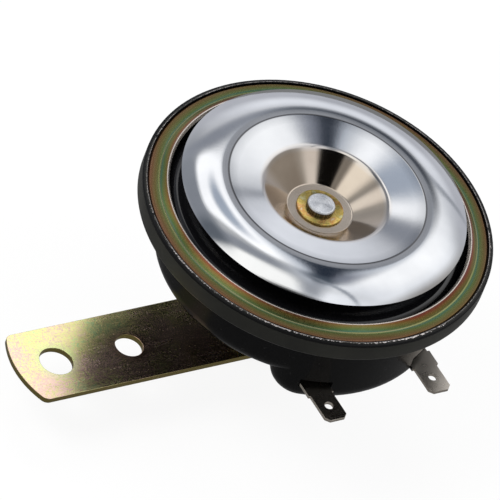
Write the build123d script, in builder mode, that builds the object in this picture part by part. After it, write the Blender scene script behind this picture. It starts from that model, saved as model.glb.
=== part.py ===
from build123d import *
from math import asin, cos, degrees, radians
import os

# Electromagnetic disc horn on a flat steel bracket, in millimetres.
# Origin: centre of the bracket's outer fixing hole, on the bracket's rear face.
# +Z runs along the horn axis towards the tone disc, the bracket leads back along -X,
# and both blade terminals point along -Y.

# ---------- driving dimensions ----------
# mounting bracket
bracket_thick = 1.5
bracket_width = 21.8
outer_hole_r = 4.35
inner_hole_r = 3.6
inner_hole_x = 21.1          # from the outer hole
stud_x = 64.7                # from the outer hole to the horn axis
tail_reach = 11.3            # from the outer hole to the end of the strip
tail_r = 23.5                # bow of the free end
tail_corner_r = 2.0
head_reach = 12.5            # from the horn axis to the hidden end
head_corner_r = 5.0

# stud hardware, M8
stud_r = 4.0
stud_clearance = 0.3
nut_across_flats = 13.0
nut_height = 6.8
nut_thread_gap = 0.05        # radial, between a nut's bore and the stud
washer_r = 8.5
washer_thick = 1.6
spring_washer_r = 6.9
spring_washer_thick = 2.0
spring_washer_gap = 0.9
stud_free_end = 2.2          # stud showing past the rear nut
stud_chamfer = 0.6

# pressed housing
sheet = 1.0
can_r = 36.9
can_bottom_r = 4.5           # outside radius between wall and floor
tier_rise = 6.4              # from the deep floor up to the shallow floor
tier_step = 1.1              # deep tier's wall outside the can's
tier_left_margin = 18.95     # degrees past each terminal
tier_right_margin = 14.65
tier_left_corner_share = 0.6 # of how far the tier stands out from the boss
tier_right_corner_share = 0.48
tier_bottom_r = 4.9
boss_margin = 5.1            # deep round middle, outside the bobbin it holds
boss_blend_share = 0.3
headroom = 5.4               # from the bobbin up to the underside of the flange
rim_r = 45.0
rim_corner_r = 1.1
lip_width = 1.25             # crimped lip, from the rim inwards
lip_gap = 0.05               # between the lip and the clamp ring's bevel
lip_stand = 0.25             # lip's edge above the clamp ring
lip_edge_round = 0.35

# clamped stack in the rim
gasket_thick = 1.35
gasket_width = 2.4
diaphragm_thick = 0.5
ring_sheet = 1.2
ring_bevel = 0.7
ring_flat_width = 3.1
ring_collar_width = 1.9      # seen from above
ring_collar_rise = 1.45
rim_fit = 0.1                # radial, between the band and what it holds

# diaphragm
bead_foot_inset = 5.4        # from the rim's outside to the foot of the bead
bead_half_width = 4.0
bead_rise = 1.9
bead_dip_inset = 8.6         # from the foot of the bead to the hollow inside it
bead_dip = 0.9
hub_margin = 1.0             # flat middle, outside the armature's disc
hub_rise = 1.6

# tone disc
tone_sheet = 1.0
tone_gap = 2.4               # edge to the clamp ring's collar
tone_edge_rise = 4.45        # edge above the seat of the cone
tone_shoulder_inset = 4.5    # from the edge to a circle half way down the fall
tone_shoulder_rise = 6.41
tone_top_inset = 9.7         # from the edge to the flat top
tone_crease_inset = 11.4     # from the edge to the crease inside the flat top
tone_top_rise = 7.25
tone_crease_round = 2.5
cone_top_r = 16.1
cone_top_rise = 5.68
cone_foot_r = 8.35
cone_round_r = 3.0
cone_foot_round_r = 0.8

# armature stack
stem_r = 3.0
stem_fit = 0.1
stem_head_r = 3.64
stem_head_height = 1.4
stem_head_round = 0.55
front_washer_r = 6.05
front_washer_thick = 0.6
spacer_r = 7.6
spacer_thick = 0.75
armature_disc_r = 15.0
armature_disc_thick = 3.0
plunger_r = 8.4
air_gap = 1.1                # armature to pole face at rest

# coil
core_r = 8.8
bobbin_bore_gap = 0.2
bobbin_wall = 1.1
bobbin_inset = 17.8          # tier's wall to the bobbin's flanges
bobbin_flange_thick = 1.2
bobbin_height = 17.0
core_height = 11.0
winding_gap = 0.1
winding_inset = 1.2          # winding below the edge of the flanges

# blade terminals, 6.3 x 0.8
blade_width = 6.3
blade_thick = 0.8
blade_hole_r = 1.1
blade_hole_from_tip = 4.6
blade_corner = 1.1
left_x = -13.65
left_reach = 8.85            # tip, outside the tier's wall
left_shoulder_reach = 0.3
left_root_width = 7.3
right_x = 19.2
right_reach = 6.1
right_shoulder_inset = 2.2   # inside the tier's wall
right_root_width = 7.6
right_drop = 1.7             # this blade lies lower than the left one
root_gap = 0.2               # window to root, each side
window_rise = 2.2            # window above the underside of the root
window_reach = 0.32          # cut past both faces of the tier's wall
terminal_rivet_inset = 4.4   # right rivet to the tier's wall
terminal_rivet_r = 1.0
terminal_rivet_head_r = 1.6
terminal_rivet_head = 0.6

# insulating plate that carries both terminals
plate_thick = 3.2
plate_margin = 0.5
plate_step_gap = 0.6         # between the step and the lower blade's root
plate_front_margin = 1.2     # past the middles of the terminal rivets
plate_wall_gap = 1.8
plate_corner = 2.4

# contact breaker, on a folded steel bridge in the deep tier
bridge_width = 10.4
bridge_sheet = 1.5
bridge_foot_inset = 5.6      # insets are from the tier's outside wall
bridge_riser_inset = 14.2
bridge_lift = 0.4            # top of the bridge above the bobbin
bridge_bend_r = 2.2
foot_rivet_pitch = 5.6
foot_rivet_inset = 8.8
foot_rivet_r = 1.5
foot_rivet_head_r = 2.5
foot_rivet_head = 0.9
stack_width = 9.0
stack_back_inset = 4.4
stack_front_inset = 12.6
stack_rivet_insets = (10.6, 6.6)
stack_rivet_r = 0.9
stack_rivet_head_r = 1.7
stack_rivet_head = 0.7
stack_rivet_gap = 0.35       # insulating sleeve and play round each rivet
insulator_thick = 0.8
contact_arm_width = 7.0
spring_arm_thick = 0.4
spring_arm_past_peg = 1.8
fixed_arm_thick = 0.8
fixed_arm_past_contact = 2.0
contact_to_peg = 5.8
contact_r = 1.6
contact_gap = 0.15
contact_height = 0.5
peg_inset = 2.2              # from the edge of the armature's disc
peg_r = 1.5
peg_gap = 0.75               # peg to armature at rest

# adjusting screw in the deep floor, under the fixed arm's ear
screw_x = 11.8
screw_inset = 14.8
screw_r = 2.0
screw_head_r = 3.0
screw_head_height = 1.3
screw_slot_width = 0.8
screw_slot_depth = 0.7
screw_tip_gap = 0.1
bush_r = 2.9
bush_height = 2.6
bush_neck_r = 2.5
bush_board_gap = 0.2         # bush to the terminals' plate
thread_gap = 0.05
ear_width = 4.6

# ---------- places across the horn, from its axis ----------
tier_r = can_r + tier_step
bobbin_flange_r = tier_r - bobbin_inset
boss_r = bobbin_flange_r + boss_margin
hub_flat_r = armature_disc_r + hub_margin
wall_y = -tier_r
tier_start_angle = 270 - degrees(asin(-left_x / tier_r)) - tier_left_margin
tier_end_angle = 270 + degrees(asin(right_x / tier_r)) + tier_right_margin
left_tip_y = wall_y - left_reach
left_shoulder_y = wall_y - left_shoulder_reach
right_tip_y = wall_y - right_reach
right_shoulder_y = wall_y + right_shoulder_inset
plate_r = tier_r - sheet - plate_wall_gap
terminal_rivet_y = -((tier_r - terminal_rivet_inset) ** 2 - right_x ** 2) ** 0.5
plate_front_y = terminal_rivet_y + plate_front_margin
bridge_foot_y = wall_y + bridge_foot_inset
bridge_riser_y = wall_y + bridge_riser_inset
foot_rivet_y = wall_y + foot_rivet_inset
stack_back_y = wall_y + stack_back_inset
stack_front_y = wall_y + stack_front_inset
screw_y = wall_y + screw_inset
peg_y = peg_inset - armature_disc_r
spring_arm_y = peg_y + spring_arm_past_peg
contact_y = peg_y - contact_to_peg
fixed_arm_y = contact_y + fixed_arm_past_contact
breaker_x = (left_x + right_x) / 2

# ---------- levels above the bracket's rear face ----------
nut_seat_z = bracket_thick
washer_z = nut_seat_z + nut_height
floor_z = washer_z + washer_thick
shallow_z = floor_z + tier_rise
flange_z = floor_z + sheet + bobbin_height + headroom
gasket_z = flange_z + sheet
diaphragm_z = gasket_z + gasket_thick
upper_gasket_z = diaphragm_z + diaphragm_thick
ring_z = upper_gasket_z + gasket_thick
ring_top_z = ring_z + ring_sheet
rim_inner_r = rim_r - sheet
lip_r = rim_r - lip_width                       # free edge of the crimped lip
ring_r = rim_inner_r - rim_fit
ring_crease_r = ring_r - ring_flat_width
ring_inner_r = ring_crease_r - ring_collar_width
bead_foot_r = rim_r - bead_foot_inset
bead_top_r = bead_foot_r - bead_half_width
bead_inner_r = bead_foot_r - bead_dip_inset
tone_r = ring_inner_r - tone_gap
tone_shoulder_r = tone_r - tone_shoulder_inset
tone_top_r = tone_r - tone_top_inset
tone_crease_r = tone_r - tone_crease_inset
hub_z = diaphragm_z + hub_rise                  # underside of the diaphragm's middle
spacer_z = hub_z + diaphragm_thick
tone_seat_z = spacer_z + spacer_thick + tone_sheet
front_washer_z = tone_seat_z
stem_head_z = front_washer_z + front_washer_thick
armature_z = hub_z - armature_disc_thick
core_z = floor_z + sheet
core_top_z = core_z + core_height
plunger_z = core_top_z + air_gap
shelf_z = core_z + bobbin_height + bridge_lift
plate_z = core_z + bridge_sheet
blade_z = plate_z + plate_thick
lower_insulator_z = shelf_z
spring_arm_z = lower_insulator_z + insulator_thick
middle_insulator_z = spring_arm_z + spring_arm_thick
middle_insulator_thick = 2 * contact_height + contact_gap
fixed_arm_z = middle_insulator_z + middle_insulator_thick
upper_insulator_z = fixed_arm_z + fixed_arm_thick
stack_top_z = upper_insulator_z + insulator_thick
foot_rivet_places = [
    (breaker_x - foot_rivet_pitch / 2, foot_rivet_y),
    (breaker_x + foot_rivet_pitch / 2, foot_rivet_y),
]

horn_axis = Axis((stud_x, 0, 0), (0, 0, 1))
section = Plane(origin=(stud_x, 0, 0), x_dir=(1, 0, 0), z_dir=(0, -1, 0))
side = Plane(origin=(stud_x, 0, 0), x_dir=(0, 1, 0), z_dir=(1, 0, 0))


def level(height):
    """Horizontal plane whose origin is on the horn axis."""
    return Plane(origin=(stud_x, 0, height))


def save(piece, label):
    piece.part.label = label
    export_step(piece.part, f"parts/{label}.step")


os.makedirs("parts", exist_ok=True)


# ---------- pressed housing ----------
def pressed_form(inset):
    """Solid form of the can, drawn in by inset: its outside at 0, its hollow at one sheet."""
    stand_out = tier_r - boss_r
    with BuildSketch() as tier_plan:
        with BuildLine():
            wall = CenterArc((0, 0), tier_r, tier_start_angle, tier_end_angle - tier_start_angle)
            Line(wall @ 1, (0, 0))
            Line((0, 0), wall @ 0)
        make_face()
        for end, share in ((-1, tier_right_corner_share), (0, tier_left_corner_share)):
            corners = tier_plan.vertices().filter_by(lambda v: v.center().length > boss_r)
            fillet(corners.sort_by(Axis.X)[end], stand_out * share)
        Circle(boss_r)
        joins = tier_plan.vertices().filter_by(lambda v: v.Y < 0)
        blends = joins.filter_by(lambda v: abs(v.center().length - boss_r) < 0.01)
        fillet(blends, stand_out * boss_blend_share)
    with BuildPart() as tier:
        with BuildSketch(level(floor_z + inset)):
            add(tier_plan.sketch)
            if inset > 0:
                offset(amount=-inset, mode=Mode.REPLACE)
        extrude(amount=flange_z + sheet - floor_z - inset)
        fillet(tier.faces().sort_by(Axis.Z)[0].edges(), tier_bottom_r - inset)
    with BuildPart() as can:
        with BuildSketch(section) as half:
            with Locations((0, shallow_z + inset)):
                Rectangle(can_r - inset, flange_z + sheet - shallow_z - inset, align=Align.MIN)
            corner = half.vertices().group_by(Axis.Y)[0].sort_by(Axis.X)[-1]
            fillet(corner, can_bottom_r - inset)
        revolve(axis=horn_axis)
        add(tier.part)
    return can.part


flange_root_r = can_r - 2 * sheet
with BuildPart() as housing:
    add(pressed_form(0))
    with BuildSketch(section):
        with BuildLine():
            bevel_z = ring_top_z - ring_bevel + lip_gap
            lip_top = (lip_r, ring_top_z + lip_stand)
            lip_low = (lip_r, bevel_z + rim_inner_r - lip_r)
            FilletPolyline(
                (flange_root_r, flange_z),
                (rim_r, flange_z),
                (rim_r, ring_top_z),
                lip_top,
                radius=(rim_corner_r, lip_edge_round),
            )
            Polyline(
                lip_top,
                lip_low,
                (rim_inner_r, bevel_z),
                (rim_inner_r, flange_z + sheet),
                (flange_root_r, flange_z + sheet),
                (flange_root_r, flange_z),
            )
        make_face()
    revolve(axis=horn_axis)
    add(pressed_form(sheet), mode=Mode.SUBTRACT)
    with BuildSketch(level(floor_z)):
        Circle(stud_r + stud_clearance)
        with Locations((screw_x, screw_y)):
            Circle(bush_neck_r)
        with Locations(*foot_rivet_places):
            Circle(foot_rivet_r)
    extrude(amount=sheet, mode=Mode.SUBTRACT)
    for x, width, drop in (
        (left_x, left_root_width, 0),
        (right_x, right_root_width, right_drop),
    ):
        window_half = width / 2 + root_gap
        wall_inside_y = -((tier_r - sheet) ** 2 - (abs(x) + window_half) ** 2) ** 0.5
        with BuildSketch(level(blade_z - drop - root_gap)):
            with Locations((x, wall_inside_y + window_reach)):
                window_depth = wall_inside_y + tier_r + 2 * window_reach
                Rectangle(2 * window_half, window_depth, align=(Align.CENTER, Align.MAX))
        extrude(amount=drop + window_rise + root_gap, mode=Mode.SUBTRACT)
save(housing, "housing")

# ---------- clamp ring, gaskets and diaphragm ----------
with BuildPart() as clamp_ring:
    with BuildSketch(section):
        with BuildLine():
            slope = (ring_crease_r - ring_inner_r, -ring_collar_rise)
            run = (slope[0] ** 2 + slope[1] ** 2) ** 0.5
            drop = (slope[1] * ring_sheet / run, -slope[0] * ring_sheet / run)
            Polyline(
                (ring_r, ring_z),
                (ring_r, ring_top_z - ring_bevel),
                (ring_r - ring_bevel, ring_top_z),
                (ring_crease_r, ring_top_z),
                (ring_inner_r, ring_top_z + ring_collar_rise),
                (ring_inner_r + drop[0], ring_top_z + ring_collar_rise + drop[1]),
                (ring_crease_r + ring_sheet * 0.35, ring_z),
                close=True,
            )
        make_face()
    revolve(axis=horn_axis)
save(clamp_ring, "clamp_ring")

for label, height in (("lower_gasket", gasket_z), ("upper_gasket", upper_gasket_z)):
    with BuildPart() as gasket:
        with BuildSketch(level(height)):
            Circle(ring_r)
            Circle(ring_r - gasket_width, mode=Mode.SUBTRACT)
        extrude(amount=gasket_thick)
    save(gasket, label)

with BuildPart() as diaphragm:
    with BuildSketch(section):
        with BuildLine():
            def skin(lift):
                """One face of the diaphragm, from the stem hole out to the clamped rim."""
                base = diaphragm_z + lift
                hub = Line((stem_r + stem_fit, base + hub_rise), (hub_flat_r, base + hub_rise))
                cone = Spline(
                    hub @ 1,
                    (bead_inner_r, base + bead_dip),
                    (bead_top_r, base + bead_rise),
                    (bead_foot_r, base),
                    tangents=((1, 0), (1, 0)),
                )
                return hub @ 0, Line(cone @ 1, (ring_r, base)) @ 1

            low_start, low_end = skin(0)
            top_start, top_end = skin(diaphragm_thick)
            Line(low_start, top_start)
            Line(low_end, top_end)
        make_face()
    revolve(axis=horn_axis)
save(diaphragm, "diaphragm")


# ---------- tone disc and its armature ----------
with BuildPart() as tone_disc:
    with BuildSketch(section):
        with BuildLine():
            seat = tone_seat_z
            dish = FilletPolyline(
                (stem_r + stem_fit, seat),
                (cone_foot_r, seat),
                (cone_top_r, seat + cone_top_rise),
                (tone_crease_r, seat + tone_top_rise),
                (tone_top_r, seat + tone_top_rise),
                radius=(cone_foot_round_r, cone_round_r, tone_crease_round),
            )
            fall = ThreePointArc(
                dish @ 1,
                (tone_shoulder_r, seat + tone_shoulder_rise),
                (tone_r, seat + tone_edge_rise),
            )
            offset(amount=tone_sheet, side=Side.RIGHT, closed=True)
        make_face()
    revolve(axis=horn_axis)
save(tone_disc, "tone_disc")

with BuildPart() as stem:
    with BuildSketch(level(armature_z)):
        Circle(stem_r)
    extrude(amount=stem_head_z - armature_z)
    with BuildSketch(level(stem_head_z)):
        Circle(stem_head_r)
    extrude(amount=stem_head_height)
    fillet(stem.faces().sort_by(Axis.Z)[-1].edges(), stem_head_round)
save(stem, "stem")

for label, height, radius, thick in (
    ("front_washer", front_washer_z, front_washer_r, front_washer_thick),
    ("spacer_washer", spacer_z, spacer_r, spacer_thick),
):
    with BuildPart() as washer:
        with BuildSketch(level(height)):
            Circle(radius)
            Circle(stem_r + stem_fit, mode=Mode.SUBTRACT)
        extrude(amount=thick)
        fillet(washer.edges().filter_by(GeomType.CIRCLE).group_by(SortBy.RADIUS)[-1], thick * 0.25)
    save(washer, label)

with BuildPart() as armature:
    with BuildSketch(level(armature_z)):
        Circle(armature_disc_r)
    extrude(amount=armature_disc_thick)
    with BuildSketch(level(plunger_z)):
        Circle(plunger_r)
    extrude(amount=armature_z - plunger_z)
    chamfer(armature.faces().sort_by(Axis.Z)[0].edges(), 0.4)
    with BuildSketch(level(armature_z)):
        Circle(stem_r + stem_fit)
    extrude(amount=armature_disc_thick, mode=Mode.SUBTRACT)
save(armature, "armature")


# ---------- coil and pole core ----------
stud_end_z = -spring_washer_thick - nut_height - stud_free_end
with BuildPart() as pole_core:
    with BuildSketch(level(core_z)):
        Circle(core_r)
    extrude(amount=core_height)
    with BuildSketch(level(stud_end_z)):
        Circle(stud_r)
    extrude(amount=core_z - stud_end_z)
    chamfer(pole_core.faces().sort_by(Axis.Z)[0].edges(), stud_chamfer)
save(pole_core, "pole_core")

tube_r = core_r + bobbin_bore_gap
with BuildPart() as coil_bobbin:
    with BuildSketch(section):
        with Locations((tube_r, core_z)):
            Rectangle(bobbin_wall, bobbin_height, align=Align.MIN)
            Rectangle(bobbin_flange_r - tube_r, bobbin_flange_thick, align=Align.MIN)
        with Locations((tube_r, core_z + bobbin_height - bobbin_flange_thick)):
            Rectangle(bobbin_flange_r - tube_r, bobbin_flange_thick, align=Align.MIN)
    revolve(axis=horn_axis)
save(coil_bobbin, "coil_bobbin")

with BuildPart() as coil_winding:
    winding_z = core_z + bobbin_flange_thick + winding_gap
    with BuildSketch(level(winding_z)):
        Circle(bobbin_flange_r - winding_inset)
        Circle(tube_r + bobbin_wall + winding_gap, mode=Mode.SUBTRACT)
    extrude(amount=bobbin_height - 2 * (bobbin_flange_thick + winding_gap))
save(coil_winding, "coil_winding")


# ---------- blade terminals on their insulating plate ----------
def blade_outline(x, tip_y, shoulder_y, root_width, inner_y):
    """Plan of a blade terminal, drawn into the sketch that calls it."""
    with Locations((x, (tip_y + inner_y) / 2)):
        blade = Rectangle(blade_width, inner_y - tip_y)
    chamfer(blade.vertices().group_by(Axis.Y)[0], blade_corner)
    with Locations((x, shoulder_y)):
        Rectangle(root_width, plate_root_y - shoulder_y, align=(Align.CENTER, Align.MIN))
    with Locations((x, tip_y + blade_hole_from_tip)):
        Circle(blade_hole_r, mode=Mode.SUBTRACT)
    with Locations((x, terminal_rivet_y)):
        Circle(terminal_rivet_r, mode=Mode.SUBTRACT)


right_blade_z = blade_z - right_drop
plate_root_y = -(plate_r ** 2 - (right_x - blade_width / 2) ** 2) ** 0.5
with BuildPart() as terminal_plate:
    with BuildSketch(level(plate_z)):
        plate_left = left_x - blade_width / 2 - plate_margin
        plate_right = right_x + blade_width / 2 + plate_margin
        with Locations((plate_left, plate_front_y)):
            board = Rectangle(
                plate_right - plate_left, plate_r + plate_front_y, align=(Align.MIN, Align.MAX)
            )
        chamfer(board.vertices().group_by(Axis.Y)[-1], plate_corner)
        Circle(plate_r, mode=Mode.INTERSECT)
        with Locations((left_x, terminal_rivet_y), (right_x, terminal_rivet_y)):
            Circle(terminal_rivet_r, mode=Mode.SUBTRACT)
        with Locations(*foot_rivet_places):
            Circle(foot_rivet_r, mode=Mode.SUBTRACT)
        with Locations((screw_x, screw_y)):
            Circle(bush_r + bush_board_gap, mode=Mode.SUBTRACT)
    extrude(amount=plate_thick)
    with BuildSketch(level(right_blade_z)):
        with Locations((right_x - right_root_width / 2 - plate_step_gap, plate_front_y)):
            Rectangle(plate_r, plate_r, align=(Align.MIN, Align.MAX))
    extrude(amount=right_drop, mode=Mode.SUBTRACT)
save(terminal_plate, "terminal_plate")

with BuildPart() as terminal_left:
    with BuildSketch(level(blade_z)):
        blade_outline(left_x, left_tip_y, left_shoulder_y, left_root_width, plate_front_y)
    extrude(amount=blade_thick)
save(terminal_left, "terminal_left")

with BuildPart() as terminal_right:
    with BuildSketch(level(right_blade_z)):
        blade_outline(right_x, right_tip_y, right_shoulder_y, right_root_width, plate_front_y)
    extrude(amount=blade_thick)
save(terminal_right, "terminal_right")


def rivet_group(places, low, high, shank_r, head_r, head):
    """Identical rivets, each with a head at both ends."""
    with BuildPart() as group:
        for height, radius, amount in (
            (low - head, head_r, head),
            (low, shank_r, high - low),
            (high, head_r, head),
        ):
            with BuildSketch(level(height)):
                with Locations(*places):
                    Circle(radius)
            extrude(amount=amount)
    return group


with BuildPart() as terminal_rivets:
    for x, blade_low in ((left_x, blade_z), (right_x, right_blade_z)):
        rivet = rivet_group(
            [(x, terminal_rivet_y)],
            plate_z, blade_low + blade_thick,
            terminal_rivet_r, terminal_rivet_head_r, terminal_rivet_head,
        )
        add(rivet.part)
save(terminal_rivets, "terminal_rivets")

foot_rivets = rivet_group(
    foot_rivet_places, floor_z, blade_z, foot_rivet_r, foot_rivet_head_r, foot_rivet_head
)
save(foot_rivets, "foot_rivets")


# ---------- contact breaker ----------
stack_rivet_places = [(breaker_x, wall_y + inset) for inset in stack_rivet_insets]
with BuildPart() as breaker_bridge:
    with BuildSketch(Plane(origin=(stud_x + breaker_x, 0, 0), x_dir=(0, 1, 0), z_dir=(1, 0, 0))):
        with BuildLine():
            FilletPolyline(
                (bridge_foot_y, core_z),
                (bridge_riser_y, core_z),
                (bridge_riser_y, shelf_z),
                (stack_back_y, shelf_z),
                radius=bridge_bend_r,
            )
            offset(amount=bridge_sheet, side=Side.LEFT, closed=True)
        make_face()
    extrude(amount=bridge_width / 2, both=True)
    with BuildSketch(level(core_z)):
        with Locations(*foot_rivet_places):
            Circle(foot_rivet_r)
    extrude(amount=bridge_sheet, mode=Mode.SUBTRACT)
    with BuildSketch(level(shelf_z - bridge_sheet)):
        with Locations(*stack_rivet_places):
            Circle(stack_rivet_r)
    extrude(amount=bridge_sheet, mode=Mode.SUBTRACT)
save(breaker_bridge, "breaker_bridge")

for label, height, thick in (
    ("lower_insulator", lower_insulator_z, insulator_thick),
    ("middle_insulator", middle_insulator_z, middle_insulator_thick),
    ("upper_insulator", upper_insulator_z, insulator_thick),
):
    with BuildPart() as insulator:
        with BuildSketch(level(height)):
            with Locations((breaker_x, (stack_back_y + stack_front_y) / 2)):
                Rectangle(stack_width, stack_front_y - stack_back_y)
            with Locations(*stack_rivet_places):
                Circle(stack_rivet_r, mode=Mode.SUBTRACT)
        extrude(amount=thick)
    save(insulator, label)

with BuildPart() as spring_contact_arm:
    with BuildSketch(level(spring_arm_z)):
        with Locations((breaker_x, stack_back_y)):
            leaf = Rectangle(
                contact_arm_width, spring_arm_y - stack_back_y, align=(Align.CENTER, Align.MIN)
            )
        fillet(leaf.vertices().group_by(Axis.Y)[-1], contact_arm_width * 0.3)
        with Locations(*stack_rivet_places):
            Circle(stack_rivet_r + stack_rivet_gap, mode=Mode.SUBTRACT)
    extrude(amount=spring_arm_thick)
save(spring_contact_arm, "spring_contact_arm")

with BuildPart() as fixed_contact_arm:
    with BuildSketch(level(fixed_arm_z)):
        with Locations((breaker_x, stack_back_y)):
            Rectangle(contact_arm_width, fixed_arm_y - stack_back_y, align=(Align.CENTER, Align.MIN))
        with Locations((breaker_x, screw_y)):
            Rectangle(
                screw_x + ear_width / 2 - breaker_x, ear_width, align=(Align.MIN, Align.CENTER)
            )
        with Locations(*stack_rivet_places):
            Circle(stack_rivet_r + stack_rivet_gap, mode=Mode.SUBTRACT)
    extrude(amount=fixed_arm_thick)
save(fixed_contact_arm, "fixed_contact_arm")

contact_low_z = spring_arm_z + spring_arm_thick
for label, height, place_y, radius, tall in (
    ("moving_contact_point", contact_low_z, contact_y, contact_r, contact_height),
    ("fixed_contact_point", fixed_arm_z - contact_height, contact_y, contact_r, contact_height),
    ("contact_peg", contact_low_z, peg_y, peg_r, armature_z - peg_gap - contact_low_z),
):
    with BuildPart() as button:
        with BuildSketch(level(height)):
            with Locations((breaker_x, place_y)):
                Circle(radius)
        extrude(amount=tall)
    save(button, label)

stack_rivets = rivet_group(
    stack_rivet_places,
    shelf_z - bridge_sheet, stack_top_z, stack_rivet_r, stack_rivet_head_r, stack_rivet_head,
)
save(stack_rivets, "stack_rivets")

with BuildPart() as screw_bush:
    with BuildSketch(level(core_z)):
        with Locations((screw_x, screw_y)):
            Circle(bush_r)
    extrude(amount=bush_height)
    with BuildSketch(level(floor_z)):
        with Locations((screw_x, screw_y)):
            Circle(bush_neck_r)
    extrude(amount=sheet)
    with BuildSketch(level(floor_z)):
        with Locations((screw_x, screw_y)):
            Circle(screw_r + thread_gap)
    extrude(amount=sheet + bush_height, mode=Mode.SUBTRACT)
save(screw_bush, "screw_bush")

with BuildPart() as adjusting_screw:
    with BuildSketch(level(floor_z - screw_head_height)):
        with Locations((screw_x, screw_y)):
            Circle(screw_head_r)
    extrude(amount=screw_head_height)
    with BuildSketch(level(floor_z)):
        with Locations((screw_x, screw_y)):
            Circle(screw_r)
    extrude(amount=fixed_arm_z - screw_tip_gap - floor_z)
    with BuildSketch(level(floor_z - screw_head_height)):
        with Locations((screw_x, screw_y)):
            Rectangle(3 * screw_head_r, screw_slot_width, rotation=35)
    extrude(amount=screw_slot_depth, mode=Mode.SUBTRACT)
save(adjusting_screw, "adjusting_screw")


# ---------- bracket and stud hardware ----------
with BuildPart() as mounting_bracket:
    with BuildSketch() as strip:
        half_width = bracket_width / 2
        with BuildLine():
            corner_x = -(tail_reach - tail_r + (tail_r ** 2 - half_width ** 2) ** 0.5)
            head_x = stud_x + head_reach
            ThreePointArc((corner_x, half_width), (-tail_reach, 0), (corner_x, -half_width))
            Polyline(
                (corner_x, -half_width),
                (head_x, -half_width),
                (head_x, half_width),
                (corner_x, half_width),
            )
        make_face()
        fillet(strip.vertices().group_by(Axis.X)[-1], head_corner_r)
        fillet(strip.vertices().group_by(Axis.X)[0], tail_corner_r)
        Circle(outer_hole_r, mode=Mode.SUBTRACT)
        with Locations((inner_hole_x, 0)):
            Circle(inner_hole_r, mode=Mode.SUBTRACT)
        with Locations((stud_x, 0)):
            Circle(stud_r + stud_clearance, mode=Mode.SUBTRACT)
    extrude(amount=bracket_thick)
save(mounting_bracket, "mounting_bracket")


def hex_nut(height):
    """M8 hexagon nut with both faces bevelled at the corners."""
    with BuildPart() as nut:
        with BuildSketch(level(height)):
            RegularPolygon(nut_across_flats / 2, 6, major_radius=False)
        extrude(amount=nut_height)
        with BuildSketch(section):
            with BuildLine():
                flat_r = nut_across_flats / 2
                corner_r = flat_r / cos(radians(30))
                bevel = (corner_r - flat_r) * 0.55
                Polyline(
                    (0, height),
                    (flat_r, height),
                    (corner_r, height + bevel),
                    (corner_r, height + nut_height - bevel),
                    (flat_r, height + nut_height),
                    (0, height + nut_height),
                    close=True,
                )
            make_face()
        revolve(axis=horn_axis, mode=Mode.INTERSECT)
        with BuildSketch(level(height)):
            Circle(stud_r + nut_thread_gap)
        extrude(amount=nut_height, mode=Mode.SUBTRACT)
    return nut


save(hex_nut(nut_seat_z), "lock_nut")
save(hex_nut(-spring_washer_thick - nut_height), "bracket_nut")

with BuildPart() as flat_washer:
    with BuildSketch(level(washer_z)):
        Circle(washer_r)
        Circle(stud_r + stud_clearance, mode=Mode.SUBTRACT)
    extrude(amount=washer_thick)
save(flat_washer, "flat_washer")

with BuildPart() as spring_washer:
    with BuildSketch(level(-spring_washer_thick)):
        Circle(spring_washer_r)
        Circle(stud_r + stud_clearance, mode=Mode.SUBTRACT)
        with Locations((spring_washer_r, 0)):
            Rectangle(2 * spring_washer_r - stud_r, spring_washer_gap, mode=Mode.SUBTRACT)
    extrude(amount=spring_washer_thick)
save(spring_washer, "spring_washer")
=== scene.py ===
import math

import bmesh
import bpy
from mathutils import Matrix, Vector


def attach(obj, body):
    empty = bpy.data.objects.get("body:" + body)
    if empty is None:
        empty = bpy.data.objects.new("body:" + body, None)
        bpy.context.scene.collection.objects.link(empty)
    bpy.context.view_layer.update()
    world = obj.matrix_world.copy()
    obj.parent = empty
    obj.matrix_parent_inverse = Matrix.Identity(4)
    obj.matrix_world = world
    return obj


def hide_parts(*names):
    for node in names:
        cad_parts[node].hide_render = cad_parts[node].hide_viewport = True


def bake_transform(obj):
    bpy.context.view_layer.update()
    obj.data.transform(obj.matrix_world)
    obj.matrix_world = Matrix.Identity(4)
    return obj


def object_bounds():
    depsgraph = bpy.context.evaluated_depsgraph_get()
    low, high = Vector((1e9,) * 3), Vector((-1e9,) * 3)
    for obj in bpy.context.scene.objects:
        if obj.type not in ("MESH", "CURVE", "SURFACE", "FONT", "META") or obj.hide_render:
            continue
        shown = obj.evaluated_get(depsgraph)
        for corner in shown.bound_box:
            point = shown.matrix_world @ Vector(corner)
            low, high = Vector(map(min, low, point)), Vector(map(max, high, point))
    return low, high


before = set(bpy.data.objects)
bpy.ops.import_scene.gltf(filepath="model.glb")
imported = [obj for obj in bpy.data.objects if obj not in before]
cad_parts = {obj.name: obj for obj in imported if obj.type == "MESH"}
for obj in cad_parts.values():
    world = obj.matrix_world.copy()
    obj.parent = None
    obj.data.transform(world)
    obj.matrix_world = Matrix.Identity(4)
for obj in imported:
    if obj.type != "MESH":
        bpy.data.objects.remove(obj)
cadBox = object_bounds()
print("frame loaded with", len(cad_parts), "nodes")

mm = 0.001
hornAxis = Vector((0.0647, 0.0, 0.0))      # foot of the horn's axis on the bracket's rear face
bpy.context.scene.view_settings.view_transform = "Standard"


# node helpers, used by materials and by geometry trees
def put(tree, kind, inputs=None, **settings):
    node = tree.nodes.new(kind)
    for name, value in settings.items():
        setattr(node, name, value)
    for socket, value in (inputs or {}).items():
        if isinstance(value, bpy.types.NodeSocket):
            tree.links.new(value, node.inputs[socket])
        else:
            node.inputs[socket].default_value = value
    return node


def calc(tree, operation, a, b=None):
    values = {0: a} if b is None else {0: a, 1: b}
    return put(tree, "ShaderNodeMath", values, operation=operation).outputs[0]


def add(tree, a, b):
    return calc(tree, "ADD", a, b)


def minus(tree, a, b):
    return calc(tree, "SUBTRACT", a, b)


def times(tree, a, b):
    return calc(tree, "MULTIPLY", a, b)


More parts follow.
